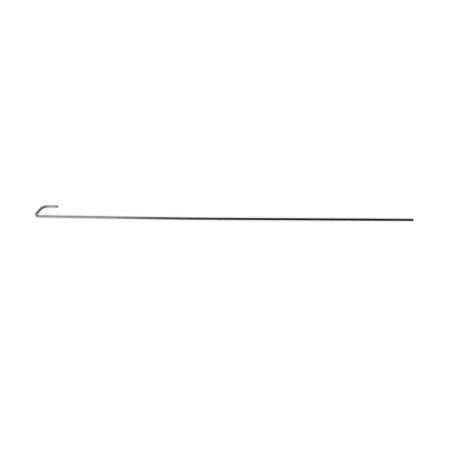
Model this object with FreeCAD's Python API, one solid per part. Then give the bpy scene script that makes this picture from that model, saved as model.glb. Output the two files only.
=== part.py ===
"""A hooked needle: one length of round steel wire, straight but for a V-shaped hook at one end.

Units are millimetres and degrees. The needle lies flat, with its underside on z = 0. +X runs along
the straight shank from the hook to the free end, and +Y is the side that the hook is bent to. The
origin is the middle of the underside of the bounding box.
"""

import FreeCAD, Part
import math
import os

# Stock and overall size
WIRE_DIAMETER = 2.25
OVERALL_LENGTH = 350.0

# Shank: straight from the free end, then a barely visible set in the run that leads to the hook
SHANK_RUN = 181.0
SET_ANGLE = 0.6
SET_ARC_LENGTH = 70.0

# Hook: the heel turns the wire back into the arm, and the elbow levels the arm out into the leg.
# The height is between the centrelines of shank and leg, and the reach is from the heel's outside
# to the leg's end.
HEEL_RADIUS = 1.7
ELBOW_RADIUS = 9.7
ARM_ANGLE = 50.0
HOOK_HEIGHT = 9.3
HOOK_REACH = 21.25

# Both ends are rounded over, nearly to a half ball
TIP_ROUNDING = 1.0

WIRE_RADIUS = WIRE_DIAMETER / 2
SET_RADIUS = SET_ARC_LENGTH / math.radians(SET_ANGLE)
HEEL_ANGLE = 180 - ARM_ANGLE


def sine(degrees):
    return math.sin(math.radians(degrees))


def cosine(degrees):
    return math.cos(math.radians(degrees))


def hook_run():
    """The straight run between set and heel, which fills what is left of the overall length."""
    set_length = SET_RADIUS * sine(SET_ANGLE)
    heel_length = WIRE_RADIUS + HEEL_RADIUS * (1 - sine(SET_ANGLE))
    return (OVERALL_LENGTH - SHANK_RUN - set_length - heel_length) / cosine(SET_ANGLE)


def arm_run():
    """The arm's straight run, which climbs what the heel and the elbow leave of the hook's height."""
    heel_climb = HEEL_RADIUS * (1 + cosine(ARM_ANGLE))
    elbow_climb = ELBOW_RADIUS * (1 - cosine(ARM_ANGLE))
    return (HOOK_HEIGHT - heel_climb - elbow_climb) / sine(ARM_ANGLE)


def leg_run():
    """The leg's straight run, which takes what the arm and the bends leave of the hook's reach."""
    heel_reach = WIRE_RADIUS + HEEL_RADIUS * (1 - sine(ARM_ANGLE))
    elbow_reach = ELBOW_RADIUS * sine(ARM_ANGLE)
    return HOOK_REACH - heel_reach - elbow_reach - arm_run() * cosine(ARM_ANGLE)


def direction(heading):
    """The unit vector that points along a heading, counted anticlockwise from +X."""
    return FreeCAD.Vector(cosine(heading), sine(heading), 0)


def centreline():
    """Straight runs joined by tangent right-hand bends, from the free end to the hook's tip."""
    bends = [
        (SHANK_RUN, SET_RADIUS, SET_ANGLE),
        (hook_run(), HEEL_RADIUS, HEEL_ANGLE),
        (arm_run(), ELBOW_RADIUS, ARM_ANGLE),
    ]
    point = FreeCAD.Vector(0, 0, WIRE_RADIUS)
    heading = 180
    edges = []
    for run, radius, turn in bends:
        bend_start = point + direction(heading) * run
        centre = bend_start + direction(heading - 90) * radius
        middle = centre + direction(heading + 90 - turn / 2) * radius
        bend_end = centre + direction(heading + 90 - turn) * radius
        edges.append(Part.LineSegment(point, bend_start).toShape())
        edges.append(Part.Arc(bend_start, middle, bend_end).toShape())
        point = bend_end
        heading -= turn
    tip = point + direction(heading) * leg_run()
    edges.append(Part.LineSegment(point, tip).toShape())
    return Part.Wire(edges)


def bent_wire(path):
    """The round wire along its centreline, with square-cut ends."""
    free_end = path.OrderedVertexes[0].Point
    section = Part.Circle(free_end, FreeCAD.Vector(1, 0, 0), WIRE_RADIUS)
    return path.makePipe(Part.Face(Part.Wire(section.toShape())))


def needle_wire():
    """The whole needle, with rounded ends, centred over the origin."""
    path = centreline()
    wire = bent_wire(path)
    section_times_length = math.pi * WIRE_RADIUS**2 * path.Length
    print(f"wire {path.Length:.2f} mm long, {wire.Volume:.2f} mm3, expected {section_times_length:.2f}")
    cut_ends = [face for face in wire.Faces if isinstance(face.Surface, Part.Plane)]
    wire = wire.makeFillet(TIP_ROUNDING, [face.Edges[0] for face in cut_ends])
    middle = wire.optimalBoundingBox().Center
    wire.translate(FreeCAD.Vector(-middle.x, -middle.y, 0))
    return wire


os.makedirs("parts", exist_ok=True)
needle_wire().exportStep("parts/needle_wire.step")
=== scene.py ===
import math

import bpy
import numpy as np
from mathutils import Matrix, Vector


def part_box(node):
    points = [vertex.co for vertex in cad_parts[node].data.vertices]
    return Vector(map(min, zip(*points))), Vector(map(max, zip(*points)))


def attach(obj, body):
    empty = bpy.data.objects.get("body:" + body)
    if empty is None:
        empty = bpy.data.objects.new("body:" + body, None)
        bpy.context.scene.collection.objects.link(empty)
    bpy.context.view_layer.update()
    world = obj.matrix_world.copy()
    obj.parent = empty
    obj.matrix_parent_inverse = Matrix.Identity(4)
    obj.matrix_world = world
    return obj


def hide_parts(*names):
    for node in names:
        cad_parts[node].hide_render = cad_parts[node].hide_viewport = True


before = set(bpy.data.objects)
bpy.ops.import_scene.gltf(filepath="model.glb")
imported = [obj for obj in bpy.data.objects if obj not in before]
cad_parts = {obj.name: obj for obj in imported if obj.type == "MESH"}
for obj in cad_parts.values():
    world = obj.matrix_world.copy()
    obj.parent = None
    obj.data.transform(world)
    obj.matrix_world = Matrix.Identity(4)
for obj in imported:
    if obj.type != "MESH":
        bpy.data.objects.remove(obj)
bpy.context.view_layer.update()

wire_low, wire_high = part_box("needle_wire")

# The needle's own sizes, in metres and degrees. The wire is straight but for a barely visible set
# in the shank and a V-shaped hook: a tight heel, a straight arm, a wider elbow and a short leg.
WIRE_DIAMETER = wire_high.z - wire_low.z
WIRE_RADIUS = WIRE_DIAMETER / 2
OVERALL_LENGTH = wire_high.x - wire_low.x
SHANK_RUN = 0.181
SET_ANGLE = 0.6
SET_ARC_LENGTH = 0.070
SET_RADIUS = SET_ARC_LENGTH / math.radians(SET_ANGLE)
HEEL_RADIUS = 0.0017
ELBOW_RADIUS = 0.0097
ARM_ANGLE = 50.0
HEEL_ANGLE = 180 - ARM_ANGLE
HOOK_HEIGHT = 0.0093
HOOK_REACH = 0.02125

# How finely the wire is meshed, what bending does to its round section, and how its ends are
# rounded over. LARGEST_RING_TURN is in radians.
SIDES = 48
SHANK_RING_SPACING = 0.0015
HOOK_RING_SPACING = 0.00025
LARGEST_RING_TURN = 0.1
BEND_FADE_LENGTH = 0.0008
OUTSIDE_FLATTENING = 0.08
TIP_ROUNDING = 0.001
TIP_ROUNDING_STEPS = 12
TIP_DOME_HEIGHT = 0.00004

# The marks in the steel, as their size round the wire and along it, then its colours and finish
DRAW_LINES = (0.00012, 0.020)
FINE_LINES = (0.00004, 0.006)
TARNISH = (0.004, 0.022)
SCUFFS = (0.0004, 0.0012)
BEND_GRAIN = (0.00008, 0.00008)
STRAIGHTENING_PITCH = 0.007
DARK_STEEL = (0.47, 0.465, 0.42)
PALE_STEEL = (0.60, 0.60, 0.56)
LEAST_ROUGHNESS = 0.10
BUMP_DEPTH = 0.000002

# The camera looks straight down, turned a little, with the needle above the middle of its view
CAMERA_HEIGHT = 0.8
VIEW_WIDTH = 0.41581
VIEW_MIDDLE = Vector((0.00051, -0.01098))
CAMERA_TURN = 0.33
SENSOR_WIDTH = 36.0

# The floor, the backdrop that it curves up into, and the light on them
FLOOR_RADIUS = 4.0
COVE_RADIUS = 1.0
COVE_STEPS = 12
BACKDROP_HEIGHT = 2.0
FLOOR_SIDES = 96
PAPER_COLOUR = (0.9, 0.9, 0.9)
PAPER_GLOW = 0.54
OVERHEAD_STRENGTH = 1.3
OVERHEAD_SPREAD = 90.0

# The surroundings that the steel mirrors, as red, green and blue radiance. LOW_PART is in degrees
# above the horizon. The strips lie between two values of the mirrored direction's x. A softbox is
# (direction of its middle, brightness, degrees to its outer edge), and it fades between the inner
# angle, SOFTBOX_INNER, and that edge.
ROOM = (0.038, 0.037, 0.028)
LOW_ROOM = (0.045, 0.045, 0.040)
LOW_PART = (8.0, 18.0)
STRIP = (0.54, 0.54, 0.52)
STRIP_BETWEEN = (-0.235, -0.098)
STRIP_EDGE = 0.05
BRIGHT_STRIP = (0.73, 0.73, 0.71)
BRIGHT_STRIP_BETWEEN = (-0.235, -0.178)
SOFTBOX_TINT = (1.0, 1.0, 0.96)
SOFTBOX_INNER = 14.4
LEFT_SOFTBOX = ((-0.51, -0.075, 0.70), 1.15, 32.8)
RIGHT_SOFTBOX = ((0.70, 0.45, 0.71), 1.2, 26.0)


def sine(degrees):
    return math.sin(math.radians(degrees))


def cosine(degrees):
    return math.cos(math.radians(degrees))


# ---- the wire's centreline -------------------------------------------------------------------


def hook_run():
    """The straight run between set and heel, which fills what is left of the overall length."""
    set_length = SET_RADIUS * sine(SET_ANGLE)
    heel_length = WIRE_RADIUS + HEEL_RADIUS * (1 - sine(SET_ANGLE))
    return (OVERALL_LENGTH - SHANK_RUN - set_length - heel_length) / cosine(SET_ANGLE)


def arm_run():
    """The arm's straight run, which climbs what the heel and the elbow leave of the hook's height."""
    heel_climb = HEEL_RADIUS * (1 + cosine(ARM_ANGLE))
    elbow_climb = ELBOW_RADIUS * (1 - cosine(ARM_ANGLE))
    return (HOOK_HEIGHT - heel_climb - elbow_climb) / sine(ARM_ANGLE)


def leg_run():
    """The leg's straight run, which takes what the arm and the bends leave of the hook's reach."""
    heel_reach = WIRE_RADIUS + HEEL_RADIUS * (1 - sine(ARM_ANGLE))
    elbow_reach = ELBOW_RADIUS * sine(ARM_ANGLE)
    return HOOK_REACH - heel_reach - elbow_reach - arm_run() * cosine(ARM_ANGLE)


def direction(heading):
    """The unit vector that points along a heading, counted anticlockwise from +X."""
    return Vector((cosine(heading), sine(heading), 0))


def ring_places():
    """Where the rings of the wire's mesh go, from the free end to the hook's tip.

    Each is (point, heading, strain), and strain is how far the bend stretches the wire's outside.
    Each stretch is (straight run, radius and angle of the bend that ends it, ring spacing), and the
    leg has no bend at its end.
    """
    point = Vector((wire_high.x, wire_low.y + WIRE_RADIUS, wire_low.z + WIRE_RADIUS))
    heading = 180
    places = [(point, heading, 0)]
    stretches = [
        (SHANK_RUN, SET_RADIUS, SET_ANGLE, SHANK_RING_SPACING),
        (hook_run(), HEEL_RADIUS, HEEL_ANGLE, SHANK_RING_SPACING),
        (arm_run(), ELBOW_RADIUS, ARM_ANGLE, HOOK_RING_SPACING),
        (leg_run(), 1, 0, HOOK_RING_SPACING),
    ]
    for run, radius, turn, spacing in stretches:
        steps = round(run / spacing)
        for step in range(1, steps + 1):
            places.append((point + direction(heading) * run * step / steps, heading, 0))
        point = places[-1][0]
        centre = point + direction(heading - 90) * radius
        steps = round(radius * math.radians(turn) / min(spacing, radius * LARGEST_RING_TURN))
        for step in range(1, steps + 1):
            turned = turn * step / steps
            place = centre + direction(heading + 90 - turned) * radius
            places.append((place, heading - turned, WIRE_RADIUS / radius))
        point = places[-1][0]
        heading -= turn
    return places


def distances_along(points):
    """How far along the wire each point lies."""
    gaps = np.linalg.norm(np.diff(points, axis=0), axis=1)
    return np.concatenate([[0], np.cumsum(gaps)])


def faded(values, along):
    """The values smoothed along the wire, so that a bend's effect fades in and out."""
    weights = np.exp(-(((along[:, None] - along[None, :]) / BEND_FADE_LENGTH) ** 2))
    weights *= np.gradient(along)[None, :]
    return (weights * values[None, :]).sum(axis=1) / weights.sum(axis=1)


# ---- the wire's mesh -------------------------------------------------------------------------


def tip_rings():
    """The rounded end as (distance from the end, radius) rings, from the rim of its small flat."""
    rings = []
    for step in range(TIP_ROUNDING_STEPS + 1):
        angle = 90 * step / TIP_ROUNDING_STEPS
        inset = TIP_DOME_HEIGHT + (TIP_ROUNDING - TIP_DOME_HEIGHT) * (1 - cosine(angle))
        rings.append((inset, WIRE_RADIUS - TIP_ROUNDING * (1 - sine(angle))))
    return rings


def wire_mesh():
    """The swept wire, with its outside flattened at the bends and both ends rounded over.

    Every vertex keeps its own place in the straight wire before bending, as the vector attribute
    "wire_place", and the strain of its bend, as "bend_strain".
    """
    places = ring_places()
    centres = np.array([p for p, _, _ in places])
    headings = np.radians([h for _, h, _ in places])
    along = distances_along(centres)
    strains = faded(np.array([s for _, _, s in places], float), along)
    length = along[-1]

    # (distance along the wire, radius) of every ring, with the two ends' own rings at each end
    ends = tip_rings()
    margin = TIP_ROUNDING * 1.5
    middle = [s for s in along if margin < s < length - margin]
    rings = ends + [(s, WIRE_RADIUS) for s in middle] + [(length - s, r) for s, r in reversed(ends)]
    ring_along = np.array([s for s, _ in rings])
    ring_radius = np.array([r for _, r in rings])
    ring_centre = np.array([np.interp(ring_along, along, centres[:, k]) for k in range(3)]).T
    ring_heading = np.interp(ring_along, along, headings)
    ring_strain = np.interp(ring_along, along, strains)

    angles = np.arange(SIDES) * 2 * math.pi / SIDES
    outward = np.cos(angles)
    upward = np.sin(angles)
    flattening = 1 - OUTSIDE_FLATTENING * ring_strain[:, None] * np.clip(outward, 0, 1) ** 2
    left = np.stack([-np.sin(ring_heading), np.cos(ring_heading), np.zeros(len(rings))], axis=1)
    # bends are all right-handed, so the outside of each is on the left
    across = ring_radius[:, None] * outward * flattening
    above = ring_radius[:, None] * upward * np.ones((len(rings), 1))
    surface = ring_centre[:, None, :] + across[:, :, None] * left[:, None, :]
    surface[:, :, 2] += above
    straight = np.stack([across, above, np.repeat(ring_along[:, None], SIDES, axis=1)], axis=2)

    tips = np.array([centres[0], centres[-1]])
    tips_straight = np.array([[0, 0, 0], [0, 0, length]])
    vertices = np.concatenate([surface.reshape(-1, 3), tips])
    wire_place = np.concatenate([straight.reshape(-1, 3), tips_straight])
    bend_strain = np.concatenate([np.repeat(ring_strain, SIDES), [0, 0]])

    faces = []
    for ring in range(len(rings) - 1):
        for side in range(SIDES):
            near = ring * SIDES + side
            next_near = ring * SIDES + (side + 1) % SIDES
            faces.append((near, next_near, next_near + SIDES, near + SIDES))
    free_tip = len(rings) * SIDES
    last_ring = free_tip - SIDES
    for side in range(SIDES):
        after = (side + 1) % SIDES
        faces.append((free_tip, after, side))
        faces.append((free_tip + 1, last_ring + side, last_ring + after))

    mesh = bpy.data.meshes.new("needle")
    mesh.from_pydata(vertices.tolist(), [], faces)
    mesh.attributes.new("wire_place", "FLOAT_VECTOR", "POINT")
    mesh.attributes["wire_place"].data.foreach_set("vector", wire_place.astype(np.float32).ravel())
    mesh.attributes.new("bend_strain", "FLOAT", "POINT")
    mesh.attributes["bend_strain"].data.foreach_set("value", bend_strain.astype(np.float32))
    mesh.shade_smooth()
    return mesh


# ---- node helpers ----------------------------------------------------------------------------


def add_node(tree, kind, **values):
    """A new node. A value that names an input sets or links it, and any other sets a property."""
    node = tree.nodes.new(kind)
    for name, value in values.items():
        socket = node.inputs.get(name.replace("_", " "))
        if socket is None:
            setattr(node, name, value)
        elif isinstance(value, bpy.types.NodeSocket):
            tree.links.new(value, socket)
        else:
            socket.default_value = value
    return node


def calculate(tree, operation, first, second=0.0):
    """A Math node's result, from two numbers or sockets."""
    node = tree.nodes.new("ShaderNodeMath")
    node.operation = operation
    for socket, value in zip(node.inputs, (first, second)):
        if isinstance(value, bpy.types.NodeSocket):
            tree.links.new(value, socket)
        else:
            socket.default_value = value
    return node.outputs[0]


def weighted_sum(tree, start, *terms):
    """start plus every (value, weight) term's product."""
    total = start
    for value, weight in terms:
        total = calculate(tree, "ADD", total, calculate(tree, "MULTIPLY", value, weight))
    return total


def ramp_between(tree, value, low, high, to_low=0.0, to_high=1.0, smooth=False):
    """value carried from the range low..high to the range to_low..to_high, and held at its ends."""
    node = add_node(tree, "ShaderNodeMapRange", interpolation_type="SMOOTHSTEP" if smooth else "LINEAR")
    tree.links.new(value, node.inputs["Value"])
    for name, number in (("From Min", low), ("From Max", high), ("To Min", to_low), ("To Max", to_high)):
        node.inputs[name].default_value = number
    return node.outputs[0]


def stretched_noise(tree, place, across_size, along_size, detail=3.0):
    """Noise whose grains have one size round the wire and another along it, in metres."""
    scale = (1 / across_size, 1 / across_size, 1 / along_size)
    mapped = add_node(tree, "ShaderNodeMapping", Vector=place, Scale=scale)
    noise = add_node(tree, "ShaderNodeTexNoise", Vector=mapped.outputs[0], Scale=1.0, Detail=detail)
    return noise.outputs[0]


# ---- materials -------------------------------------------------------------------------------


def drawn_steel():
    """Satin steel wire: fine lines from the drawing die, faint straightening marks and tarnish."""
    material = bpy.data.materials.new("drawn_steel")
    material.use_nodes = True
    tree = material.node_tree
    shader = tree.nodes["Principled BSDF"]
    place = add_node(tree, "ShaderNodeAttribute", attribute_name="wire_place").outputs["Vector"]
    strain = add_node(tree, "ShaderNodeAttribute", attribute_name="bend_strain").outputs["Fac"]

    draw_lines = stretched_noise(tree, place, *DRAW_LINES)
    fine_lines = stretched_noise(tree, place, *FINE_LINES)
    tarnish = stretched_noise(tree, place, *TARNISH)
    scuffs = stretched_noise(tree, place, *SCUFFS)
    grain = stretched_noise(tree, place, *BEND_GRAIN)

    parts = add_node(tree, "ShaderNodeSeparateXYZ", Vector=place)
    angle = calculate(tree, "ARCTAN2", parts.outputs["Y"], parts.outputs["X"])
    turns = calculate(tree, "MULTIPLY", parts.outputs["Z"], 2 * math.pi / STRAIGHTENING_PITCH)
    straightening = calculate(tree, "SINE", calculate(tree, "ADD", turns, angle))

    shade = weighted_sum(tree, 0.0, (draw_lines, 0.35), (tarnish, 0.65))
    colour = add_node(tree, "ShaderNodeMix", data_type="RGBA")
    tree.links.new(ramp_between(tree, shade, 0.35, 0.65), colour.inputs["Factor"])
    colour.inputs[6].default_value = (*DARK_STEEL, 1)
    colour.inputs[7].default_value = (*PALE_STEEL, 1)
    tree.links.new(colour.outputs[2], shader.inputs["Base Color"])

    marks = ((draw_lines, 0.06), (tarnish, 0.05), (strain, 0.12), (straightening, 0.01))
    roughness = weighted_sum(tree, LEAST_ROUGHNESS, *marks)
    tree.links.new(roughness, shader.inputs["Roughness"])

    bent_grain = calculate(tree, "MULTIPLY", grain, strain)
    marks = ((draw_lines, 1.0), (fine_lines, 0.4), (straightening, 0.3), (bent_grain, 2.0))
    height = weighted_sum(tree, 0.0, *marks)
    height = calculate(tree, "SUBTRACT", height, ramp_between(tree, scuffs, 0.66, 0.74))
    bump = add_node(tree, "ShaderNodeBump", Height=height, Distance=BUMP_DEPTH, Strength=1.0)
    tree.links.new(bump.outputs[0], shader.inputs["Normal"])
    shader.inputs["Metallic"].default_value = 1.0
    return material


def pale_paper():
    """The matt, softly glowing paper of the floor and the backdrop."""
    material = bpy.data.materials.new("pale_paper")
    material.use_nodes = True
    shader = material.node_tree.nodes["Principled BSDF"]
    shader.inputs["Base Color"].default_value = (*PAPER_COLOUR, 1)
    shader.inputs["Roughness"].default_value = 1.0
    shader.inputs["Specular IOR Level"].default_value = 0.0
    shader.inputs["Emission Color"].default_value = (1, 1, 1, 1)
    shader.inputs["Emission Strength"].default_value = PAPER_GLOW
    return material


# ---- the object ------------------------------------------------------------------------------

needle = bpy.data.objects.new("needle", wire_mesh())
bpy.context.scene.collection.objects.link(needle)
needle.data.materials.append(drawn_steel())
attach(needle, "root")
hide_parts("needle_wire")

# ---- floor, light and camera -----------------------------------------------------------------


def seamless_floor():
    """A round floor that curves up into a low backdrop all round. The steel doesn't mirror it."""
    profile = [(0, 0), (FLOOR_RADIUS, 0)]
    for step in range(1, COVE_STEPS + 1):
        angle = 90 * step / COVE_STEPS
        profile.append((FLOOR_RADIUS + COVE_RADIUS * sine(angle), COVE_RADIUS * (1 - cosine(angle))))
    profile.append((FLOOR_RADIUS + COVE_RADIUS, BACKDROP_HEIGHT))
    vertices = [(0, 0, 0)]
    faces = []
    for ring, (radius, height) in enumerate(profile[1:]):
        for side in range(FLOOR_SIDES):
            turned = 360 * side / FLOOR_SIDES
            vertices.append((radius * cosine(turned), radius * sine(turned), height))
            here = 1 + ring * FLOOR_SIDES + side
            after = 1 + ring * FLOOR_SIDES + (side + 1) % FLOOR_SIDES
            if ring == 0:
                faces.append((0, here, after))
            else:
                faces.append((here - FLOOR_SIDES, here, after, after - FLOOR_SIDES))
    mesh = bpy.data.meshes.new("floor")
    mesh.from_pydata(vertices, [], faces)
    mesh.shade_smooth()
    mesh.materials.append(pale_paper())
    floor = bpy.data.objects.new("floor", mesh)
    bpy.context.scene.collection.objects.link(floor)
    floor.visible_glossy = False


def overhead_light():
    """A broad soft light from above, which the steel doesn't mirror."""
    light = bpy.data.lights.new("overhead_light", "SUN")
    light.energy = OVERHEAD_STRENGTH
    light.angle = math.radians(OVERHEAD_SPREAD)
    lamp = bpy.data.objects.new("overhead_light", light)
    lamp.visible_glossy = False
    bpy.context.scene.collection.objects.link(lamp)


def window(tree, value, low, high, edge):
    """1 between low and high and 0 outside, with edges this soft."""
    rising = ramp_between(tree, value, low - edge / 2, low + edge / 2, smooth=True)
    falling = ramp_between(tree, value, high - edge / 2, high + edge / 2, 1.0, 0.0, smooth=True)
    return calculate(tree, "MULTIPLY", rising, falling)


def lit_over(tree, below, mask, radiance):
    """below, with a light of this radiance laid over it where the mask is 1."""
    mix = add_node(tree, "ShaderNodeMix", data_type="RGBA")
    tree.links.new(mask, mix.inputs["Factor"])
    if isinstance(below, bpy.types.NodeSocket):
        tree.links.new(below, mix.inputs[6])
    else:
        mix.inputs[6].default_value = (*below, 1)
    mix.inputs[7].default_value = (*radiance, 1)
    return mix.outputs[2]


def studio_world():
    """What the steel mirrors: a dim room, paler low down, with a few soft lights in it.

    Seen from above, the x of the direction that the wire mirrors goes with the place along it. Only
    the overhead light reaches the floor, so the needle's faint shadow stays close to it all round.
    """
    world = bpy.data.worlds.new("studio")
    bpy.context.scene.world = world
    world.use_nodes = True
    tree = world.node_tree
    look = add_node(tree, "ShaderNodeTexCoord").outputs["Generated"]
    parts = add_node(tree, "ShaderNodeSeparateXYZ", Vector=look)
    low_from, low_to = [sine(angle) for angle in LOW_PART]
    low_down = ramp_between(tree, parts.outputs["Z"], low_from, low_to, 1.0, 0.0, smooth=True)
    radiance = lit_over(tree, ROOM, low_down, LOW_ROOM)
    for limits, strip in ((STRIP_BETWEEN, STRIP), (BRIGHT_STRIP_BETWEEN, BRIGHT_STRIP)):
        mask = window(tree, parts.outputs["X"], *limits, STRIP_EDGE)
        radiance = lit_over(tree, radiance, mask, strip)
    for centre, brightness, outer in (LEFT_SOFTBOX, RIGHT_SOFTBOX):
        towards = add_node(tree, "ShaderNodeVectorMath", operation="DOT_PRODUCT")
        tree.links.new(look, towards.inputs[0])
        towards.inputs[1].default_value = Vector(centre).normalized()
        nearness = towards.outputs["Value"]
        mask = ramp_between(tree, nearness, cosine(outer), cosine(SOFTBOX_INNER), smooth=True)
        radiance = lit_over(tree, radiance, mask, [brightness * part for part in SOFTBOX_TINT])
    tree.links.new(radiance, tree.nodes["Background"].inputs["Color"])
    world.cycles_visibility.diffuse = False


def photo_camera():
    """A camera straight above the needle, turned a little, as the photograph's was."""
    data = bpy.data.cameras.new("camera")
    data.sensor_width = SENSOR_WIDTH
    data.lens = SENSOR_WIDTH * CAMERA_HEIGHT / VIEW_WIDTH
    camera = bpy.data.objects.new("camera", data)
    camera.location = (VIEW_MIDDLE.x, VIEW_MIDDLE.y, CAMERA_HEIGHT + WIRE_RADIUS)
    camera.rotation_euler = (0, 0, math.radians(CAMERA_TURN))
    bpy.context.scene.collection.objects.link(camera)
    bpy.context.scene.camera = camera


seamless_floor()
overhead_light()
studio_world()
photo_camera()
bpy.context.scene.view_settings.view_transform = "Standard"
